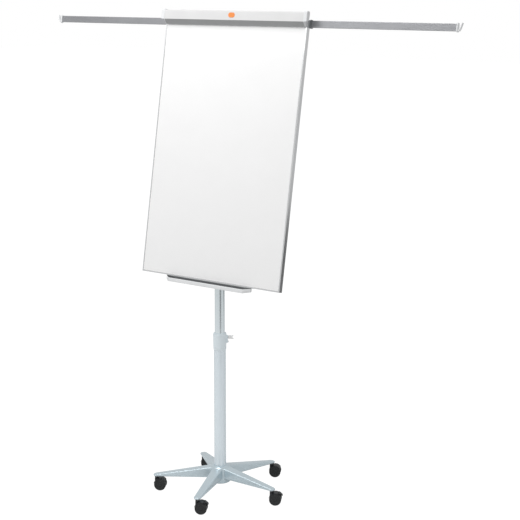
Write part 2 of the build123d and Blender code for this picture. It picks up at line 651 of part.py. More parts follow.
# ---------------------------------------------------------------- pad clamp
with BuildPart() as clamp_cover:
    with BuildSketch(SECTION.offset(-COVER_HALF)):
        block(COVER_FRONT, PIVOT_N + BARREL_R, COVER_BOTTOM, COVER_TOP)
        fillet(vertices().sort_by(Axis.X)[:2].sort_by(Axis.Y)[-1], 5)
        with BuildSketch(mode=Mode.SUBTRACT):
            block(COVER_FRONT + COVER_WALL, 60, COVER_BOTTOM - 1, COVER_TOP - COVER_WALL)
            fillet(vertices().sort_by(Axis.X)[:2].sort_by(Axis.Y)[-1], 3)
        block(PIVOT_N, PIVOT_N + BARREL_R, PIVOT_S, COVER_TOP)
        with Locations((PIVOT_N, PIVOT_S)):
            Circle(BARREL_R)
            Circle(ROD_R + RUNNING, mode=Mode.SUBTRACT)
    extrude(amount=2 * COVER_HALF)
    gaps = [(place, LUG_W + 1.5) for place in LUG_PLACES]
    gaps += [(place, SPRING_LENGTH) for place in SPRING_PLACES]
    for place, width in gaps:
        with BuildSketch(SECTION.offset(place - width / 2)):
            block(-4, 20, PIVOT_S - 8, COVER_TOP - COVER_WALL)
        extrude(amount=width, mode=Mode.SUBTRACT)
save(clamp_cover, "clamp_cover")

LIP_OUT, LIP_LOW, FOOT_REAR = -25.0, 1037.6, 0.4
LIP_HALF = LIP_EDGE - 0.6
with BuildPart() as clamp_lip:
    with BuildSketch(SECTION.offset(-LIP_HALF)):
        Polygon(
            (LIP_OUT, COVER_BOTTOM), (-8.5, 1040.2), (-7.2, LIP_LOW), (FOOT_REAR, LIP_LOW),
            (FOOT_REAR, 1040.2), (-6.2, 1040.6), (-21, 1054.6), (-21, 1070),
            (COVER_FRONT + COVER_WALL, 1070), (COVER_FRONT + COVER_WALL, COVER_BOTTOM), align=None,
        )
    extrude(amount=2 * LIP_HALF)
save(clamp_lip, "clamp_lip")

with BuildPart() as clamp_end_caps:
    with BuildSketch(SECTION.offset(COVER_HALF)):
        Polygon(
            (COVER_FRONT - 0.6, COVER_BOTTOM), (COVER_FRONT - 0.6, CAP_TOP), (CAP_BACK, CAP_TOP),
            (CAP_BACK, COVER_BOTTOM + 12), (-13, COVER_BOTTOM + 3), align=None,
        )
        fillet(vertices().group_by(Axis.Y)[-1], 5)
    extrude(amount=CAP_OUTER - COVER_HALF)
    fillet(faces().sort_by(Axis.X)[-1].edges(), 1.5)
    # the cheek that closes the lip's end
    with BuildSketch(SECTION.offset(COVER_HALF)):
        Polygon(
            (COVER_FRONT, COVER_BOTTOM), (-9, LIP_LOW + 1.5), (-1, LIP_LOW + 1.5),
            (-1, COVER_BOTTOM + 14), (COVER_FRONT, COVER_BOTTOM + 14), align=None,
        )
    extrude(amount=2)
    # the ear that closes the cover's barrel
    with BuildSketch(SECTION.offset(COVER_HALF)):
        block(CAP_BACK - 6, PIVOT_N + BARREL_R, PIVOT_S - 8, COVER_TOP + 0.6)
        fillet(vertices().group_by(Axis.X)[-1], 3)
    extrude(amount=7)
    mirror(about=Plane.YZ)
save(clamp_end_caps, "clamp_end_caps")

BADGE_W, BADGE_H, BADGE_S = 32.0, 20.0, 1076.0
with BuildPart() as badge:
    with BuildSketch(FACE.offset(-COVER_FRONT)):
        with Locations((0, BADGE_S)):
            RectangleRounded(BADGE_W, BADGE_H, BADGE_H / 2 - 0.01)
    extrude(amount=1)
    fillet(faces().sort_by(FRONTWARDS)[-1].edges(), 0.6)
save(badge, "badge")

# ---------------------------------------------------------------- arms and their guide
GUIDE_S0, GUIDE_S1 = ARM_S - ARM_HEIGHT / 2 - ARM_GAP, ARM_S + ARM_HEIGHT / 2 + ARM_GAP
GUIDE_BACK = REAR_ARM_N + ARM_DEPTH / 2 + ARM_GAP + GUIDE_WALL


def arm_slot(depth):
    """The hole that an arm runs in, in the current sketch."""
    reach = ARM_DEPTH / 2 + ARM_GAP
    block(depth - reach, depth + reach, GUIDE_S0, GUIDE_S1)


with BuildPart() as arm_guide:
    with BuildSketch(SECTION.offset(-HALF_W)):
        block(BOARD_T, GUIDE_BACK, GUIDE_S0 - GUIDE_WALL, GUIDE_S1 + GUIDE_WALL)
        with BuildSketch(mode=Mode.SUBTRACT):
            arm_slot(FRONT_ARM_N)
            arm_slot(REAR_ARM_N)
    extrude(amount=BOARD_W)
save(arm_guide, "arm_guide")

with BuildPart() as guide_bushes:
    for side, depth in ((1, FRONT_ARM_N), (-1, REAR_ARM_N)):
        with BuildSketch(SECTION.offset(side * HALF_W)):
            block(depth - 7.5, depth + 7.5, ARM_S - 17, ARM_S + 17)
            fillet(vertices(), 2.5)
            with BuildSketch(mode=Mode.SUBTRACT):
                arm_slot(depth)
        extrude(amount=side * 6)
        with BuildSketch(SECTION.offset(side * (HALF_W + 6))):
            block(depth - 6.3, depth + 6.3, ARM_S - 15.8, ARM_S + 15.8)
            fillet(vertices(), 2)
            with BuildSketch(mode=Mode.SUBTRACT):
                arm_slot(depth)
        extrude(amount=side * 6)
save(guide_bushes, "guide_bushes")


def grooved_arm(depth):
    """A drawn arm for the right-hand side: a thin box section, finely grooved front and back."""
    with BuildPart() as arm:
        with BuildSketch(SECTION.offset(ARM_END - ARM_LENGTH)):
            with Locations((depth, ARM_S)):
                RectangleRounded(ARM_DEPTH, ARM_HEIGHT, 1.2)
                Rectangle(ARM_DEPTH - 2.8, ARM_HEIGHT - 2.8, mode=Mode.SUBTRACT)
                with GridLocations(ARM_DEPTH, 4.4, 2, 5):
                    Rectangle(1.2, 1.3, mode=Mode.SUBTRACT)
        extrude(amount=ARM_LENGTH)
    return arm


def arm_cap(depth):
    """An arm's end cap: a plug, an end plate and a slanted finger pull."""
    with BuildPart() as cap:
        with BuildSketch(SECTION.offset(ARM_END)):
            with Locations((depth, ARM_S)):
                Rectangle(ARM_DEPTH - 2.8, ARM_HEIGHT - 2.8)
        extrude(amount=-25)
        with BuildSketch(SECTION.offset(ARM_END)):
            with Locations((depth, ARM_S)):
                SlotOverall(34, 13, rotation=90)
        extrude(amount=9)
        fillet(faces().sort_by(Axis.X)[-1].edges(), 1.5)
        with BuildSketch(FACE.offset(-depth)):
            with BuildLine():
                Polyline(
                    (ARM_END + 9, ARM_S - 12.5), (ARM_END + 20, ARM_S - 12.5),
                    (ARM_END + 30, ARM_S + 14), (ARM_END + 24, ARM_S + 14),
                    (ARM_END + 17, ARM_S + 1), (ARM_END + 9, ARM_S - 1), (ARM_END + 9, ARM_S - 12.5),
                )
            make_face()
        extrude(amount=3.5, both=True)
        fillet(edges().filter_by(FRONTWARDS).sort_by(Axis.X)[-4:], 1.6)
    return cap


front_arm, rear_arm = grooved_arm(FRONT_ARM_N), grooved_arm(REAR_ARM_N)
save(front_arm, "right_arm")
save(arm_cap(FRONT_ARM_N), "right_arm_cap")
with BuildPart() as left_arm:
    add(rear_arm.part.mirror(Plane.YZ))
save(left_arm, "left_arm")
with BuildPart() as left_arm_cap:
    add(arm_cap(REAR_ARM_N).part.mirror(Plane.YZ))
save(left_arm_cap, "left_arm_cap")

# ---------------------------------------------------------------- pen tray
TRAY_FRONT, TRAY_BACK_HALF, TRAY_FRONT_HALF, TRAY_BACK = -24.0, 218.0, 190.0, 2.0
TRAY_FLOOR, TRAY_LIP, TRAY_WALL = -16.5, -8.5, 1.8


def tray_outline(inset):
    """The tray's plan, narrower at the front, in a sketch with depth along y."""
    Polygon(
        (-TRAY_BACK_HALF + inset, TRAY_BACK - inset), (TRAY_BACK_HALF - inset, TRAY_BACK - inset),
        (TRAY_FRONT_HALF - inset, TRAY_FRONT + inset), (-TRAY_FRONT_HALF + inset, TRAY_FRONT + inset),
        align=None,
    )


with BuildPart() as pen_tray:
    with BuildSketch(SILL.offset(TRAY_FLOOR)):
        tray_outline(0)
        fillet(vertices(), 3)
    extrude(amount=TRAY_LIP - TRAY_FLOOR)
    fillet(faces().sort_by(Axis(BOARD_FOOT, SILL.z_dir))[0].edges(), 2)
    # the back wall and the flange under the board's bottom rail
    with BuildSketch(SECTION.offset(-TRAY_BACK_HALF)):
        block(TRAY_BACK - TRAY_WALL, TRAY_BACK, TRAY_FLOOR + 3, 0)
        block(TRAY_BACK - TRAY_WALL, BOARD_T - 1, -TRAY_FLANGE, 0)
    extrude(amount=2 * TRAY_BACK_HALF)
    with BuildSketch(SILL.offset(TRAY_FLOOR + TRAY_WALL)):
        tray_outline(TRAY_WALL)
        fillet(vertices(), 1.5)
    extrude(amount=TRAY_LIP - TRAY_FLOOR, mode=Mode.SUBTRACT)
    with BuildSketch(SILL):
        with Locations(*TRAY_SCREWS):
            Circle(SCREW_R)
    extrude(amount=-TRAY_FLANGE, mode=Mode.SUBTRACT)
save(pen_tray, "pen_tray")

# ---------------------------------------------------------------- stiffener and screws
SPINE_LOW, SPINE_HIGH, SPINE_HALF, SPINE_WALL = 84.0, 1030.0, 36.0, 1.5
with BuildPart() as spine:
    with BuildSketch(SILL.offset(SPINE_LOW)):
        block(-SPINE_HALF, SPINE_HALF, BOARD_T - 1.5, SPINE_BACK)
        fillet(vertices().group_by(Axis.Y)[-1], 2)
        with BuildSketch(mode=Mode.SUBTRACT):
            block(
                -SPINE_HALF + SPINE_WALL, SPINE_HALF - SPINE_WALL,
                BOARD_T - 1.5 + SPINE_WALL, SPINE_BACK - SPINE_WALL,
            )
    extrude(amount=SPINE_HIGH - SPINE_LOW)
    with BuildSketch(FACE.offset(-SPINE_BACK)):
        with Locations(*BRACKET_SCREWS):
            Circle(SCREW_R)
    extrude(amount=SPINE_WALL, mode=Mode.SUBTRACT)
save(spine, "spine")

with BuildPart() as board_screws:
    # four through the tilt bracket, two under the tray's flange
    with BuildSketch(FACE.offset(-SPINE_BACK + SPINE_WALL)):
        with Locations(*BRACKET_SCREWS):
            Circle(SCREW_R)
    extrude(amount=-SPINE_WALL - BRACKET_T)
    with BuildSketch(FACE.offset(-SPINE_BACK - BRACKET_T)):
        with Locations(*BRACKET_SCREWS):
            Circle(SCREW_HEAD)
    extrude(amount=-2)
    with BuildSketch(SILL.offset(-TRAY_FLANGE)):
        with Locations(*TRAY_SCREWS):
            Circle(SCREW_R)
    extrude(amount=TRAY_FLANGE + FRAME_WALL)
    with BuildSketch(SILL.offset(-TRAY_FLANGE)):
        with Locations(*TRAY_SCREWS):
            Circle(SCREW_HEAD)
    extrude(amount=-2)
save(board_screws, "board_screws")
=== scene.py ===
import math

import bpy
from mathutils import Euler, Matrix, Vector
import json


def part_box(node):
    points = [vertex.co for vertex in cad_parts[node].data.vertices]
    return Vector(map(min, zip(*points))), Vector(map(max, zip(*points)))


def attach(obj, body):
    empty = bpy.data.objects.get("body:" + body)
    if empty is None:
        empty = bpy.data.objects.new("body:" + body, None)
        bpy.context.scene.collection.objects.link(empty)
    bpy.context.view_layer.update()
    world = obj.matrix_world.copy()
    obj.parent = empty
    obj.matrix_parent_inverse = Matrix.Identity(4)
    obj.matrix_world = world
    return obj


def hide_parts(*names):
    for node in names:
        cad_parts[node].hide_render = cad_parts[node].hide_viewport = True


# A mobile flipchart easel. The fixed frame holds its structure. Here each piece gets its finish,
# and the cast base, the castors, the height knob, the pen tray and the ends and bushes of the
# display arms get their full shape. Metres. +X is to the right along the board, -Y is the front,
# +Z is up.

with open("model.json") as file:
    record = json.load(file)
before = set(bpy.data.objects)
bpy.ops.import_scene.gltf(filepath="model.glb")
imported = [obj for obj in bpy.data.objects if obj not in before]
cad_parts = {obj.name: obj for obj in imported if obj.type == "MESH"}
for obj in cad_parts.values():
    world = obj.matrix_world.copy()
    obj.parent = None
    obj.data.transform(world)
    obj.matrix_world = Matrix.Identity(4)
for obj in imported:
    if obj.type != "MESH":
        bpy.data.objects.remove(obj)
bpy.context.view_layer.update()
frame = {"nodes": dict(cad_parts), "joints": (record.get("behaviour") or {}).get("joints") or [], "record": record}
nodes = frame["nodes"]
bpy.ops.object.select_all(action="DESELECT")

# ---------------------------------------------------------------- camera
CAMERA_PLACE = (3.1354, -4.1743, 2.0986)
CAMERA_DOWN, CAMERA_TURN, CAMERA_ROLL = 0.2075, 0.6124, 0.0034
CAMERA_LENS = 89.81

lens = bpy.data.cameras.new("camera")
lens.lens = CAMERA_LENS
lens.sensor_width = 36
camera = bpy.data.objects.new("camera", lens)
bpy.context.collection.objects.link(camera)
looking = Euler((math.pi / 2 - CAMERA_DOWN, 0, CAMERA_TURN)).to_matrix()
camera.rotation_euler = (looking @ Matrix.Rotation(CAMERA_ROLL, 3, "Z")).to_euler()
camera.location = CAMERA_PLACE
bpy.context.scene.camera = camera
bpy.context.scene.view_settings.view_transform = "Standard"


# ---------------------------------------------------------------- materials
def new_material(name):
    """A material with an empty Principled shader, and its node tree."""
    material = bpy.data.materials.new(name)
    material.use_nodes = True
    return material, material.node_tree, material.node_tree.nodes["Principled BSDF"]


def add_node(tree, kind, **values):
    """A node of that kind, with its properties and its inputs' constants set."""
    node = tree.nodes.new(kind)
    for key, value in values.items():
        if hasattr(node, key):
            setattr(node, key, value)
        else:
            node.inputs[key.replace("_", " ").title()].default_value = value
    return node


def pattern(tree, scale, stretch=(1, 1, 1), detail=4):
    """A noise in the piece's own space. A large stretch on an axis makes the grain fine along it."""
    place = add_node(tree, "ShaderNodeTexCoord")
    mapping = add_node(tree, "ShaderNodeMapping")
    mapping.inputs["Scale"].default_value = stretch
    noise = add_node(tree, "ShaderNodeTexNoise", scale=scale, detail=detail)
    tree.links.new(place.outputs["Object"], mapping.inputs["Vector"])
    tree.links.new(mapping.outputs["Vector"], noise.inputs["Vector"])
    return noise.outputs["Fac"]


def between(tree, factor, low, high):
    """Turns a 0 to 1 pattern into numbers from low to high."""
    spread = add_node(tree, "ShaderNodeMapRange")
    spread.inputs["From Min"].default_value = 0.3
    spread.inputs["From Max"].default_value = 0.7
    spread.inputs["To Min"].default_value = low
    spread.inputs["To Max"].default_value = high
    tree.links.new(factor, spread.inputs["Value"])
    return spread.outputs["Result"]


def tones(tree, factor, dark, light):
    """Turns a pattern into a colour between two tones."""
    ramp = add_node(tree, "ShaderNodeValToRGB")
    ramp.color_ramp.elements[0].position = 0.32
    ramp.color_ramp.elements[0].color = (*dark, 1)
    ramp.color_ramp.elements[1].position = 0.68
    ramp.color_ramp.elements[1].color = (*light, 1)
    tree.links.new(factor, ramp.inputs["Fac"])
    return ramp.outputs["Color"]


def relief(tree, shader, factor, depth, strength):
    """Raises the pattern as a bump of that depth in metres."""
    bump = add_node(tree, "ShaderNodeBump", strength=strength, distance=depth)
    tree.links.new(factor, bump.inputs["Height"])
    tree.links.new(bump.outputs["Normal"], shader.inputs["Normal"])


def surface(name, colour, drift, metallic, rough, grain, depth, strength=0.3, stretch=(1, 1, 1)):
    """A finish: a colour that drifts softly, a roughness that varies, and a fine relief."""
    material, tree, shader = new_material(name)
    dark = [channel * (1 - drift) for channel in colour]
    light = [min(1, channel * (1 + drift)) for channel in colour]
    broad = pattern(tree, scale=9, detail=3)
    fine = pattern(tree, scale=grain, stretch=stretch)
    tree.links.new(tones(tree, broad, dark, light), shader.inputs["Base Color"])
    tree.links.new(between(tree, fine, rough * 0.85, rough * 1.15), shader.inputs["Roughness"])
    relief(tree, shader, fine, depth, strength)
    shader.inputs["Metallic"].default_value = metallic
    return material


def painted(name, colour, rough=0.34, metallic=0.35):
    """Powder coat over metal: a fine orange peel and a faint sparkle."""
    return surface(name, colour, 0.025, metallic, rough, grain=900, depth=0.0002, strength=0.12)


def drawn_metal(name, colour, along, rough=0.3, strength=0.2):
    """Anodised or brushed metal with its draw lines along one axis."""
    stretch = [1 if axis == along else 60 for axis in "XYZ"]
    return surface(
        name, colour, 0.03, 0.85, rough, grain=22, depth=0.0003, strength=strength, stretch=stretch
    )


def moulded(name, colour, rough=0.45, grain=1400, strength=0.25):
    """Moulded plastic with a fine spark-eroded texture."""
    return surface(name, colour, 0.03, 0.0, rough, grain=grain, depth=0.0002, strength=strength)


FINISHES = {
    "base_paint": painted("base_paint", (0.62, 0.72, 0.77), rough=0.24, metallic=0.5),
    "lower_tube_paint": painted("lower_tube_paint", (0.82, 0.90, 0.95), rough=0.22, metallic=0.6),
    "upper_tube_metal": drawn_metal("upper_tube_metal", (0.88, 0.96, 1.0), "Z", 0.17, 0.04),
    "collar_plastic": moulded("collar_plastic", (0.78, 0.86, 0.90), rough=0.3),
    "knob_plastic": moulded("knob_plastic", (0.97, 0.97, 0.97), rough=0.25, strength=0.08),
    "pale_plastic": moulded("pale_plastic", (0.80, 0.80, 0.80)),
    "grey_plastic": moulded("grey_plastic", (0.11, 0.115, 0.12)),
    "black_plastic": moulded("black_plastic", (0.022, 0.022, 0.024)),
    "zinc_steel": surface("zinc_steel", (0.62, 0.63, 0.64), 0.06, 0.9, 0.32, 260, 0.0002),
    "spring_steel": surface("spring_steel", (0.5, 0.51, 0.52), 0.06, 0.95, 0.28, 320, 0.0002),
    "bracket_paint": painted("bracket_paint", (0.42, 0.44, 0.46)),
    "spine_metal": painted("spine_metal", (0.66, 0.68, 0.70)),
    "core_board": surface("core_board", (0.52, 0.40, 0.25), 0.12, 0.0, 0.8, 240, 0.0006, 0.5),
    "writing_enamel": surface("writing_enamel", (0.93, 0.93, 0.93), 0.006, 0.0, 0.16, 160, 0.0002, 0.03),
    "backing_metal": painted("backing_metal", (0.60, 0.61, 0.62)),
    "frame_metal": drawn_metal("frame_metal", (0.80, 0.81, 0.82), "Z", 0.16, 0.04),
    "guide_metal": drawn_metal("guide_metal", (0.58, 0.59, 0.61), "X"),
    "bush_plastic": moulded("bush_plastic", (0.17, 0.18, 0.19)),
    "tray_plastic": moulded("tray_plastic", (0.80, 0.81, 0.82), rough=0.3),
    "cover_paint": painted("cover_paint", (0.68, 0.68, 0.68), rough=0.38, metallic=0.0),
    "lip_plastic": moulded("lip_plastic", (0.34, 0.345, 0.35)),
    "cap_plastic": moulded("cap_plastic", (0.74, 0.75, 0.76)),
    "badge_plastic": moulded("badge_plastic", (0.83, 0.26, 0.05), rough=0.35, strength=0.1),
    "arm_metal": drawn_metal("arm_metal", (0.34, 0.345, 0.36), "X", 0.45, 0.06),
    "castor_plastic": moulded("castor_plastic", (0.020, 0.022, 0.024), rough=0.42),
    "castor_wheel": moulded("castor_wheel", (0.012, 0.014, 0.015), rough=0.5, grain=700),
}

for part in frame["record"]["subparts"]:
    mesh = nodes[part["node"]].data
    mesh.materials.clear()
    mesh.materials.append(FINISHES[part["material_slot"]])


# ---------------------------------------------------------------- modelling by hand
def deselect():
    bpy.ops.object.select_all(action="DESELECT")


def begin(name):
    """Names the primitive just added, and moves its place and turn into its mesh."""
    piece = bpy.context.object
    piece.name = piece.data.name = name
    bpy.ops.object.transform_apply(location=True, rotation=True, scale=True)
    return piece


def pick(piece, kind, test):
    """Opens the piece in edit mode with only the vertices, edges or polygons that pass the test."""
    if bpy.context.object and bpy.context.object.mode != "OBJECT":
        bpy.ops.object.mode_set(mode="OBJECT")
    bpy.context.view_layer.objects.active = piece
    for group in (piece.data.vertices, piece.data.edges, piece.data.polygons):
        for item in group:
            item.select = False
    kinds = ("vertices", "edges", "polygons")
    bpy.context.tool_settings.mesh_select_mode = [kind == other for other in kinds]
    for item in getattr(piece.data, kind):
        item.select = test(item)
    bpy.ops.object.mode_set(mode="EDIT")


def object_mode():
    if bpy.context.object.mode != "OBJECT":
        bpy.ops.object.mode_set(mode="OBJECT")


def apply_modifier(piece, kind, **settings):
    """Adds a modifier with those settings and applies it."""
    object_mode()
    bpy.context.view_layer.objects.active = piece
    modifier = piece.modifiers.new(kind.lower(), kind)
    for key, value in settings.items():
        setattr(modifier, key, value)
    bpy.ops.object.modifier_apply(modifier=modifier.name)


def round_edges(piece, width, segments=3, degrees=35):
    """Rounds every edge that is sharper than the angle."""
    limit = math.radians(degrees)
    apply_modifier(
        piece, "BEVEL", width=width, segments=segments, limit_method="ANGLE", angle_limit=limit
    )


def subdivide(piece, levels):
    """Smooths the piece as a subdivision surface."""
    apply_modifier(piece, "SUBSURF", levels=levels, render_levels=levels)


def fuse(body, *others):
    """Joins solids that overlap into one, and removes the others."""
    for other in others:
        apply_modifier(body, "BOOLEAN", object=other, operation="UNION", solver="EXACT")
        bpy.data.objects.remove(other)


def gather(body, *others):
    """Puts solids that overlap into one object, for a remesh to join."""
    only(body)
    for other in others:
        other.select_set(True)
    bpy.ops.object.join()


def cut(body, tool):
    """Takes the tool's solid out of the body, and removes the tool."""
    apply_modifier(body, "BOOLEAN", object=tool, operation="DIFFERENCE", solver="EXACT")
    bpy.data.objects.remove(tool)


def only(piece):
    """Selects just this piece, in object mode."""
    object_mode()
    deselect()
    piece.select_set(True)
    bpy.context.view_layer.objects.active = piece


def face_outwards(piece):
    """Merges doubles and turns every face outwards."""
    pick(piece, "vertices", lambda vertex: True)
    bpy.ops.mesh.remove_doubles(threshold=0.00001)
    bpy.ops.mesh.normals_make_consistent(inside=False)
    object_mode()


def shade(piece, degrees=35):
    only(piece)
    bpy.ops.object.shade_smooth_by_angle(angle=math.radians(degrees))


def put(piece, matrix):
    """Moves the finished shape to its place, in its mesh."""
    only(piece)
    piece.matrix_world = matrix
    bpy.ops.object.transform_apply(location=True, rotation=True, scale=True)


def copy_of(piece, name):
    """A copy with its own mesh."""
    only(piece)
    bpy.ops.object.duplicate()
    twin = bpy.context.object
    twin.name = twin.data.name = name
    return twin


def dress(piece, slot, body, *replaced):
    """Gives the piece its finish and its body, and hides the CAD nodes it stands for."""
    piece.data.materials.clear()
    piece.data.materials.append(FINISHES[slot])
    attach(piece, body)
    if replaced:
        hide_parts(*replaced)


def bar(name, low, high):
    """A block between two corners."""
    deselect()
    size = Vector(high) - Vector(low)
    bpy.ops.mesh.primitive_cube_add(size=1, location=(Vector(high) + Vector(low)) / 2, scale=size)
    return begin(name)


def rod(name, foot, head, radius, sides=48):
    """A round bar between two points."""
    deselect()
    foot, head = Vector(foot), Vector(head)
    turn = (head - foot).to_track_quat("Z", "Y").to_euler()
    length, middle = (head - foot).length, (foot + head) / 2
    bpy.ops.mesh.primitive_cylinder_add(
        vertices=sides, radius=radius, depth=length, location=middle, rotation=turn
    )
    return begin(name)


# ---------------------------------------------------------------- castors
WHEEL_R, WHEEL_IN, WHEEL_OUT = 0.025, 0.0062, 0.0182
TRAIL, TRAIL_TURN = 0.016, math.radians(28)
AXLE = Vector((TRAIL, 0, WHEEL_R))
BRAKE_PIN = Vector((0.032, 0, 0.0495))
HOOD_TOP = 0.057
BRAKED = ("front", "right")
# the wheel's outer face from its rim inwards: how wide each ring is and how far it then steps out
WHEEL_RINGS = (
    (0.0040, 0.0), (0.0008, -0.0013), (0.0062, 0.0), (0.0010, -0.0011), (0.0055, 0.0), (0.0010, 0.0016),
)
WEB_HALF = 0.0054               # half the thickness of the web between the wheels
EAR_IN, EAR_OUT = 0.0097, 0.0125
GUARD_THICK, GUARD_HALF, GUARD_GAP = 0.0017, 0.0184, 0.0006
GUARD_FRONT = math.radians(168)
GUARD_REAR, GUARD_REAR_BRAKED = math.radians(34), math.radians(66)


def castor_wheel():
    """One wheel, its axle along Y and its dished outer face at +Y."""
    wheel = rod("castor_wheel", (0, WHEEL_IN, 0), (0, WHEEL_OUT, 0), WHEEL_R, sides=72)
    pick(wheel, "polygons", lambda face: face.normal.y > 0.9)
    for width, rise in WHEEL_RINGS:
        bpy.ops.mesh.inset(thickness=width)
        bpy.ops.transform.translate(value=(0, rise, 0))
    pick(wheel, "polygons", lambda face: face.normal.y < -0.9)
    bpy.ops.mesh.inset(thickness=0.005)
    bpy.ops.transform.translate(value=(0, 0.001, 0))
    round_edges(wheel, 0.0007, segments=3, degrees=25)
    shade(wheel)
    return wheel


def mudguard(rear):
    """The curved guard over both wheels, spun round the axle from the rear to the front edge."""
    deselect()
    bpy.ops.mesh.primitive_plane_add(size=1)
    guard = begin("mudguard")
    guard.matrix_world = (
        Matrix.Translation(AXLE)
        @ Matrix.Rotation(-rear, 4, "Y")
        @ Matrix.Translation((WHEEL_R + GUARD_GAP + GUARD_THICK / 2, 0, 0))
        @ Matrix.Diagonal((GUARD_THICK, 2 * GUARD_HALF, 1, 1))
    )
    only(guard)
    bpy.ops.object.transform_apply(location=True, rotation=True, scale=True)
    pick(guard, "polygons", lambda face: True)
    bpy.ops.mesh.spin(steps=28, angle=GUARD_FRONT - rear, center=AXLE, axis=(0, 1, 0))
    face_outwards(guard)
    round_edges(guard, 0.0007, segments=3)
    return guard


def castor_hood(braked):
    """The swivelling body: a guard, a web between the wheels and a boss under the stem."""
    hood = mudguard(GUARD_REAR_BRAKED if braked else GUARD_REAR)
    side_step = Vector((0, WEB_HALF, 0))
    web = rod("web", AXLE - side_step, AXLE + side_step, WHEEL_R - 0.004, sides=64)
    round_edges(web, 0.0008)
    neck = bar("neck", (-0.008, -WEB_HALF, 0.030), (TRAIL - 0.004, WEB_HALF, 0.0508))
    round_edges(neck, 0.0012)
    boss = rod("boss", (0, 0, 0.0498), (0, 0, HOOD_TOP), 0.0085)
    round_edges(boss, 0.0014)
    fuse(hood, web, neck, boss)
    if braked:
        for side in (-1, 1):
            inner, outer = Vector((0, side * EAR_IN, 0)), Vector((0, side * EAR_OUT, 0))
            near, far = sorted((inner.y, outer.y))
            ear = rod("ear", BRAKE_PIN + inner, BRAKE_PIN + outer, 0.0032, sides=32)
            root = bar("root", (0.0255, near, 0.0480), (0.0320, far, 0.0520))
            round_edges(ear, 0.0004)
            fuse(hood, ear, root)
    shade(hood)
    return hood


def brake_lever():
    """The foot tab over the wheels, thick at its pin and turned down at its lip."""
    lever = bar("brake_lever", (0.0295, -0.0088, 0.0472), (0.0360, 0.0088, 0.0518))
    pick(lever, "polygons", lambda face: face.normal.x > 0.9)
    for step, shrink in (((0.0055, 0, -0.0040), 0.8), ((0.0045, 0, -0.0045), 0.75)):
        bpy.ops.mesh.extrude_region_move(TRANSFORM_OT_translate={"value": step})
        bpy.ops.transform.resize(value=(1, 1, shrink))
    round_edges(lever, 0.0012, segments=4)
    reach = Vector((0, EAR_OUT, 0))
    pin = rod("pin", BRAKE_PIN - reach, BRAKE_PIN + reach, 0.0014, sides=24)
    fuse(lever, pin)
    shade(lever)
    return lever


wheel_shape = castor_wheel()
lever_shape = brake_lever()
hood_shapes = {braked: castor_hood(braked) for braked in (True, False)}
for joint in frame["joints"]:
    if not joint["name"].startswith("castor_swivel_"):
        continue
    place = joint["name"].removeprefix("castor_swivel_")
    stem = Vector((joint["pos_m"][0], joint["pos_m"][1], 0))
    seat = Matrix.Translation(stem) @ Matrix.Rotation(TRAIL_TURN, 4, "Z")
    hood = copy_of(hood_shapes[place in BRAKED], f"hood_{place}")
    put(hood, seat)
    dress(hood, "castor_plastic", f"castor_{place}", f"castor_hood_{place}")
    for letter, turn in (("a", 0), ("b", math.pi)):
        wheel = copy_of(wheel_shape, f"wheel_{letter}_{place}")
        put(wheel, seat @ Matrix.Translation(AXLE) @ Matrix.Rotation(turn, 4, "Z"))
        dress(wheel, "castor_wheel", f"wheel_{letter}_{place}", f"castor_wheel_{letter}_{place}")
    if place in BRAKED:
        lever = copy_of(lever_shape, f"lever_{place}")
        put(lever, seat)
        dress(lever, "castor_plastic", f"brake_{place}", f"brake_lever_{place}")
for shape in (wheel_shape, lever_shape, *hood_shapes.values()):
    bpy.data.objects.remove(shape)


# ---------------------------------------------------------------- star base
CASTOR_RING, FIRST_ARM = 0.2705, math.radians(-73.3)
HUB_R, HUB_BOTTOM, HUB_TOP, TUBE_R = 0.044, 0.040, 0.113, 0.025
ARM_BOTTOM, TIP_TOP, CREST = 0.060, 0.068, 0.1115
ROOT_HALF, TIP_HALF = 0.023, 0.0145
DOME_R, CREST_R = 0.0165, 0.0046        # the roundings of the hub's top and of the arms' edges
ARM_SIDE_WALL, ARM_ROOF = 0.0042, 0.0045
POCKET_START, POCKET_END = HUB_R + 0.018, CASTOR_RING - 0.024
RECESS_R, SEAT_FLOOR = 0.030, 0.008     # under the hub, and the metal left below the tube
CAST_GRAIN = 0.0019                     # the size of the steps that blend the arms into the hub
COLUMN_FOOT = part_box("lower_tube")[0].z
ARM_TURNS = [Matrix.Rotation(FIRST_ARM + index * math.tau / 5, 4, "Z") for index in range(5)]


def upright_at_tip(foot, head, reach):
    """Whether the edge between two points stands at the arm's far end."""
    return min(foot.x, head.x) > reach - 0.001 and abs(foot.z - head.z) > 0.004


def tapered_arm(name, inset, drop, start, reach):
    """An arm along +X that narrows and thins to a rounded tip."""
    root, tip = ROOT_HALF - inset, TIP_HALF - inset
    arm = bar(name, (start, -root, ARM_BOTTOM - 2 * drop), (reach, root, CREST - drop))
    slope = (CREST - TIP_TOP) / (CASTOR_RING + TIP_HALF)
    pick(arm, "polygons", lambda face: face.normal.x > 0.9)
    bpy.ops.transform.resize(value=(1, tip / root, 1))
    pick(arm, "vertices", lambda vertex: vertex.co.z > ARM_BOTTOM and vertex.co.x > reach - 0.001)
    bpy.ops.transform.translate(value=(0, 0, -slope * reach))
    pick(arm, "vertices", lambda vertex: vertex.co.z > ARM_BOTTOM and vertex.co.x < start + 0.001)
    bpy.ops.transform.translate(value=(0, 0, -slope * start))
    points = arm.data.vertices
    pick(arm, "edges", lambda edge: upright_at_tip(*[points[end].co for end in edge.vertices], reach))
    bpy.ops.mesh.bevel(offset=tip * 0.95, segments=8)
    object_mode()
    return arm


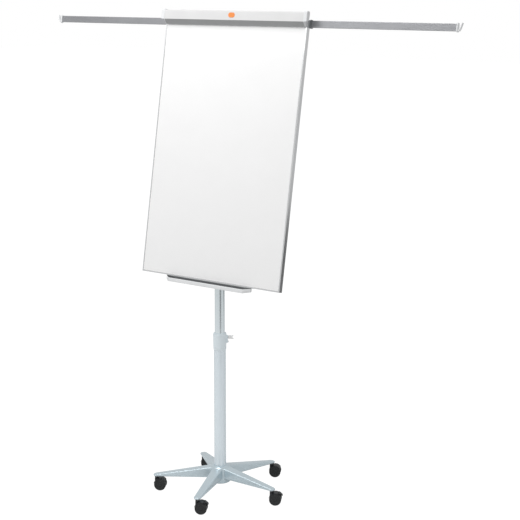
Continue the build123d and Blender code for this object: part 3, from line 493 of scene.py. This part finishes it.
def star_base():
    """The cast base: five hollow arms that flow into a domed hub."""
    hub = rod("star_base_cast", (0, 0, HUB_BOTTOM), (0, 0, HUB_TOP), HUB_R, sides=96)
    pick(hub, "polygons", lambda face: face.normal.z > 0.9)
    bpy.ops.mesh.bevel(offset=DOME_R, segments=10)
    object_mode()
    arm = tapered_arm("arm", 0, 0, 0.005, CASTOR_RING + TIP_HALF)
    round_edges(arm, CREST_R, segments=4, degrees=50)
    arms = [copy_of(arm, f"arm_{index}") for index in range(5)]
    bpy.data.objects.remove(arm)
    for spoke, turn in zip(arms, ARM_TURNS):
        put(spoke, turn)
    gather(hub, *arms)
    apply_modifier(hub, "REMESH", mode="VOXEL", voxel_size=CAST_GRAIN)
    apply_modifier(hub, "SMOOTH", factor=0.5, iterations=14)
    cut(hub, rod("seat", (0, 0, COLUMN_FOOT), (0, 0, HUB_TOP + 0.02), TUBE_R + 0.0003, sides=96))
    for turn in ARM_TURNS:
        pocket = tapered_arm("pocket", ARM_SIDE_WALL, ARM_ROOF, POCKET_START, POCKET_END)
        put(pocket, turn)
        face_outwards(pocket)
        cut(hub, pocket)
    recess_top = (0, 0, COLUMN_FOOT - SEAT_FLOOR)
    cut(hub, rod("recess", (0, 0, HUB_BOTTOM - 0.01), recess_top, RECESS_R, sides=96))
    shade(hub, 40)
    return hub


base_cast = star_base()
dress(base_cast, "base_paint", "base", "star_base")


# ---------------------------------------------------------------- height knob
KNOB_PLACE = next(joint["pos_m"] for joint in frame["joints"] if joint["name"] == "height_knob_turn")
KNOB_TURN, WING_TURN = math.radians(35), math.radians(56)
KNOB_SEAT, KNOB_CORE = 0.0352, 0.0072
# each step of a wing: how far it goes along the knob's axis and outwards, and how it thins
WING_STEPS = ((0.0030, 0.0020, 0.62), (0.0055, 0.0060, 0.8), (0.0025, 0.0050, 0.85))


def wing_knob():
    """A soft wing knob turned outwards along +X, its two wings flaring from a round collar."""
    near, far = KNOB_SEAT + 0.001, KNOB_SEAT + 0.0135
    knob = bar("wing_knob", (near, -KNOB_CORE, -KNOB_CORE), (far, KNOB_CORE, KNOB_CORE))
    for side in (1, -1):
        pick(knob, "polygons", lambda face: face.normal.z * side > 0.9)
        for along, out, flat in WING_STEPS:
            step = (along, 0, out * side)
            bpy.ops.mesh.extrude_region_move(TRANSFORM_OT_translate={"value": step})
            bpy.ops.transform.resize(value=(1, flat, 1))
    subdivide(knob, 3)
    collar = rod("collar", (KNOB_SEAT, 0, 0), (KNOB_SEAT + 0.0045, 0, 0), 0.008)
    round_edges(collar, 0.0012)
    fuse(knob, collar)
    shade(knob, 45)
    return knob


knob = wing_knob()
knob_axis = Matrix.Translation((0, 0, KNOB_PLACE[2])) @ Matrix.Rotation(KNOB_TURN, 4, "Z")
put(knob, knob_axis @ Matrix.Rotation(WING_TURN, 4, "X"))
dress(knob, "knob_plastic", "height_knob", "height_knob")


# ---------------------------------------------------------------- on the board
# Here a place is given by its distance along X, its depth behind the board's face and its height
# up the board.
BOARD_FOOT, BOARD_LEAN, BOARD_HALF, BOARD_THICK = (0, -0.0778, 0.9241), math.radians(10), 0.350, 0.020
BOARD = Matrix.Translation(BOARD_FOOT) @ Matrix.Rotation(-BOARD_LEAN, 4, "X")
MIRRORED = Matrix.Diagonal((-1, 1, 1, 1))
TRAY_BACK_HALF, TRAY_FRONT_HALF, TRAY_FRONT, TRAY_BACK = 0.218, 0.190, -0.024, 0.002
TRAY_FLOOR, TRAY_LIP, TRAY_RISE, TRAY_WALL = -0.0165, -0.0085, -0.0010, 0.0018
CLEAR = 0.02                            # how far a cutting shape stands past the surface it opens


def trough(name, inset, floor, lip, rise):
    """A block narrower at the front, whose top slopes down from the rise to the lip."""
    back, front = TRAY_BACK_HALF - inset, TRAY_FRONT_HALF - inset
    front_n = TRAY_FRONT + inset
    block = bar(name, (-back, front_n, floor), (back, TRAY_BACK - inset, rise))
    pick(block, "polygons", lambda face: face.normal.y < -0.9)
    bpy.ops.transform.resize(value=(front / back, 1, 1))
    pick(block, "vertices", lambda vertex: vertex.co.z > floor and vertex.co.y < front_n + 0.001)
    bpy.ops.transform.translate(value=(0, 0, lip - rise))
    object_mode()
    return block


def pen_tray():
    """The tray: a front lip, end walls that rise to the board, a back wall and a flange under it."""
    tray = trough("tray_moulding", 0, TRAY_FLOOR, TRAY_LIP, TRAY_RISE)
    round_edges(tray, 0.0018)
    pocket = trough("pocket", TRAY_WALL, TRAY_FLOOR + TRAY_WALL, TRAY_LIP + CLEAR, TRAY_RISE + CLEAR)
    round_edges(pocket, 0.001)
    cut(tray, pocket)
    flange_back = BOARD_THICK - 0.001
    flange = bar("flange", (-TRAY_BACK_HALF, 0.001, -0.002), (TRAY_BACK_HALF, flange_back, -0.0002))
    round_edges(flange, 0.0004)
    fuse(tray, flange)
    shade(tray)
    return tray


def tray_liner():
    """A thin dark sheet over the trough's floor and walls: painted shade that stands in for the shade inside the
    trough.
    """
    gap, thick = TRAY_WALL + 0.0002, 0.0006
    shade_sheet = trough("tray_liner", gap, TRAY_FLOOR + gap, TRAY_LIP - 0.0012, TRAY_RISE - 0.0002)
    inset = gap + thick
    hollow = trough("hollow", inset, TRAY_FLOOR + inset, TRAY_LIP + CLEAR, TRAY_RISE + CLEAR)
    cut(shade_sheet, hollow)
    shade(shade_sheet)
    return shade_sheet


tray, shade_sheet = pen_tray(), tray_liner()
put(tray, BOARD)
dress(tray, "tray_plastic", "board", "pen_tray")
# the dark sheet in the tray is painted shade: it stands in for the shade inside the trough
put(shade_sheet, BOARD)
dress(shade_sheet, "grey_plastic", "board")

ARM_S, ARM_END = 1.0535, 0.977
ARM_PLACES = {"right": 0.0258, "left": 0.0359}      # depth of each arm's middle
PLATE_HALF_N, PLATE_HALF_S, PLATE_OUT = 0.0065, 0.017, 0.0085
BUSH_HALF_N, BUSH_HALF_S, SLEEVE_STEP = 0.0066, 0.0168, 0.0007
ARM_HOLE_N, ARM_HOLE_S = 0.0043, 0.01405
# each step of a finger pull: how far it goes outwards and up the board, and how it thins
PULL_STEPS = ((0.0050, 0.0030, 0.55), (0.0035, 0.0115, 0.9), (0.0035, 0.0110, 0.9))


def about_arm(name, depth, start, stop, half_n, half_s):
    """A block round an arm's middle line, between two places along it."""
    low = (start, depth - half_n, ARM_S - half_s)
    return bar(name, low, (stop, depth + half_n, ARM_S + half_s))


def arm_cap(depth):
    """An arm's end: a plug, a rounded end plate and a slanted finger pull."""
    plate = about_arm("arm_cap", depth, ARM_END, ARM_END + PLATE_OUT, PLATE_HALF_N, PLATE_HALF_S)
    round_edges(plate, 0.0032, segments=4)
    plug = about_arm("plug", depth, ARM_END - 0.024, ARM_END + 0.002, 0.0026, 0.0123)
    round_edges(plug, 0.0006)
    foot = (ARM_END + 0.0060, depth - 0.0048, ARM_S - 0.0130)
    pull = bar("pull", foot, (ARM_END + 0.0155, depth + 0.0048, ARM_S - 0.0085))
    pick(pull, "polygons", lambda face: face.normal.z > 0.9)
    for along, up, slim in PULL_STEPS:
        bpy.ops.mesh.extrude_region_move(TRANSFORM_OT_translate={"value": (along, 0, up)})
        bpy.ops.transform.resize(value=(slim, 1, 1))
    round_edges(pull, 0.0011)
    fuse(plate, plug, pull)
    shade(plate)
    return plate


def guide_bush(depth):
    """The plate round an arm where it leaves its guide, with a low sleeve."""
    out = BOARD_HALF
    bush = about_arm("guide_bush", depth, out, out + 0.0036, BUSH_HALF_N, BUSH_HALF_S)
    round_edges(bush, 0.0014)
    sleeve_n, sleeve_s = BUSH_HALF_N - SLEEVE_STEP, BUSH_HALF_S - 0.0011
    sleeve = about_arm("sleeve", depth, out + 0.001, out + 0.0050, sleeve_n, sleeve_s)
    round_edges(sleeve, 0.001)
    fuse(bush, sleeve)
    cut(bush, about_arm("hole", depth, out - CLEAR, out + CLEAR, ARM_HOLE_N, ARM_HOLE_S))
    shade(bush)
    return bush


for side, depth in ARM_PLACES.items():
    place = BOARD if side == "right" else BOARD @ MIRRORED
    for shape, name, slot, body in (
        (arm_cap(depth), f"{side}_arm_end", "cap_plastic", f"{side}_arm"),
        (guide_bush(depth), f"{side}_guide_bush", "bush_plastic", "board"),
    ):
        shape.name = shape.data.name = name
        put(shape, place)
        face_outwards(shape)
        dress(shape, slot, body, "guide_bushes" if body == "board" else f"{side}_arm_cap")


# ---------------------------------------------------------------- studio
# where each dark patch lies and how far it reaches
DARK_PATCHES = (((2.84, -2.22), 1.5), ((3.2, 4.2), 2.6))
PATCH_TONE, FLOOR_TONE = 0.05, 0.92


def floor_material():
    """A pale matt floor, seen white, with two dark patches that only reflections show."""
    material, tree, shader = new_material("floor")
    here = add_node(tree, "ShaderNodeTexCoord")
    light = add_node(tree, "ShaderNodeMath", operation="MULTIPLY")
    for slot, (centre, reach) in enumerate(DARK_PATCHES):
        away = add_node(tree, "ShaderNodeVectorMath", operation="DISTANCE")
        away.inputs[1].default_value = (*centre, 0)
        spread = add_node(tree, "ShaderNodeMapRange", interpolation_type="SMOOTHSTEP")
        spread.inputs["From Min"].default_value = reach * 0.45
        spread.inputs["From Max"].default_value = reach
        spread.inputs["To Min"].default_value = PATCH_TONE
        spread.inputs["To Max"].default_value = FLOOR_TONE
        tree.links.new(here.outputs["Object"], away.inputs[0])
        tree.links.new(away.outputs["Value"], spread.inputs["Value"])
        tree.links.new(spread.outputs["Result"], light.inputs[slot])
    tree.links.new(light.outputs["Value"], shader.inputs["Base Color"])
    shader.inputs["Roughness"].default_value = 1
    glow = add_node(tree, "ShaderNodeEmission", strength=1.12)
    seen_here = add_node(tree, "ShaderNodeLightPath")
    share = add_node(tree, "ShaderNodeMath", operation="MULTIPLY")
    share.inputs[1].default_value = 0.9
    blended = add_node(tree, "ShaderNodeMixShader")
    tree.links.new(seen_here.outputs["Is Camera Ray"], share.inputs[0])
    tree.links.new(share.outputs["Value"], blended.inputs["Fac"])
    tree.links.new(shader.outputs["BSDF"], blended.inputs[1])
    tree.links.new(glow.outputs["Emission"], blended.inputs[2])
    tree.links.new(blended.outputs["Shader"], tree.nodes["Material Output"].inputs["Surface"])
    return material


FLOOR_SIZE = 60
bpy.ops.mesh.primitive_plane_add(size=FLOOR_SIZE)
floor = bpy.context.object
floor.name = "floor"
floor.data.materials.append(floor_material())


def softbox(name, place, target, size, power):
    """A square area light that faces its target."""
    light = bpy.data.lights.new(name, "AREA")
    light.size = size
    light.energy = power
    lamp = bpy.data.objects.new(name, light)
    bpy.context.collection.objects.link(lamp)
    lamp.location = place
    lamp.rotation_euler = (Vector(target) - Vector(place)).to_track_quat("-Z", "Y").to_euler()


softbox("top_light", (-0.35, -0.95, 3.35), (-0.1, 0, 1.2), 1.3, 24)
softbox("key_light", (-2.6, -3.0, 4.0), (-0.1, 0, 1.3), 2.2, 26)
softbox("fill_light", (3.5, -1.5, 2.6), (0, 0, 1.0), 2.2, 8)

world = bpy.data.worlds.new("studio")
world.use_nodes = True
bpy.context.scene.world = world
sky = world.node_tree
background = sky.nodes["Background"]
background.inputs["Color"].default_value = (1, 1, 1, 1)
background.inputs["Strength"].default_value = 0.62
backdrop = add_node(sky, "ShaderNodeBackground")
backdrop.inputs["Color"].default_value = (1, 1, 1, 1)
seen = add_node(sky, "ShaderNodeLightPath")
choice = add_node(sky, "ShaderNodeMixShader")
sky.links.new(seen.outputs["Is Camera Ray"], choice.inputs["Fac"])
sky.links.new(background.outputs["Background"], choice.inputs[1])
sky.links.new(backdrop.outputs["Background"], choice.inputs[2])
sky.links.new(choice.outputs["Shader"], sky.nodes["World Output"].inputs["Surface"])

bpy.context.view_layer.update()
